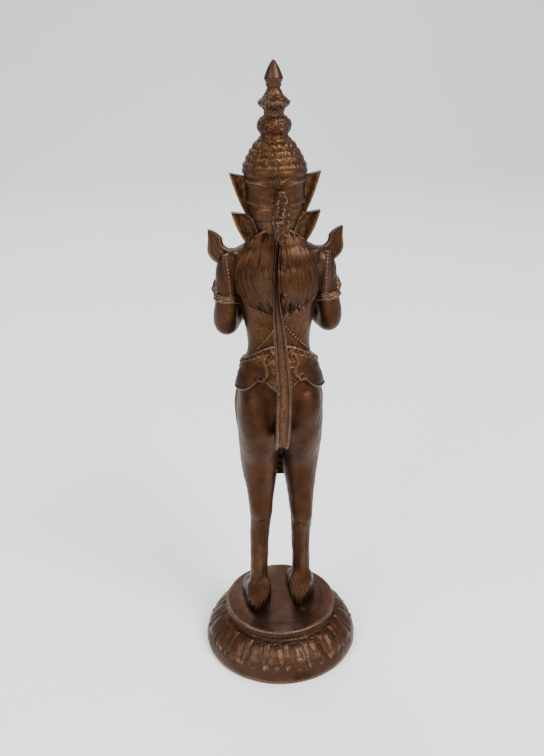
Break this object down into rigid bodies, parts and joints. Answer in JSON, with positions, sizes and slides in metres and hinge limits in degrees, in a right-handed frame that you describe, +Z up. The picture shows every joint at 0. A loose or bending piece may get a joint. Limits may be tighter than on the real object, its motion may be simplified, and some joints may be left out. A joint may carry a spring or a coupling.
{
  "type": "kinnari figure",
  "caption": "Small cast bronze celestial figure, half human and half lion, hands joined, in a tall crown, on a round lotus plinth.",
  "frame": {"origin": "middle of the plinth's underside", "axes": "+Z up along the figure, and the face looks along -Y"},
  "size_m": [0.0628, 0.0628, 0.23],
  "materials": {
    "figure_bronze": "satin",
    "plinth_bronze": "satin"
  },
  "bodies": {
    "root": {"figure": "figure_bronze", "lotus_plinth": "plinth_bronze"}
  },
  "joints": []
}
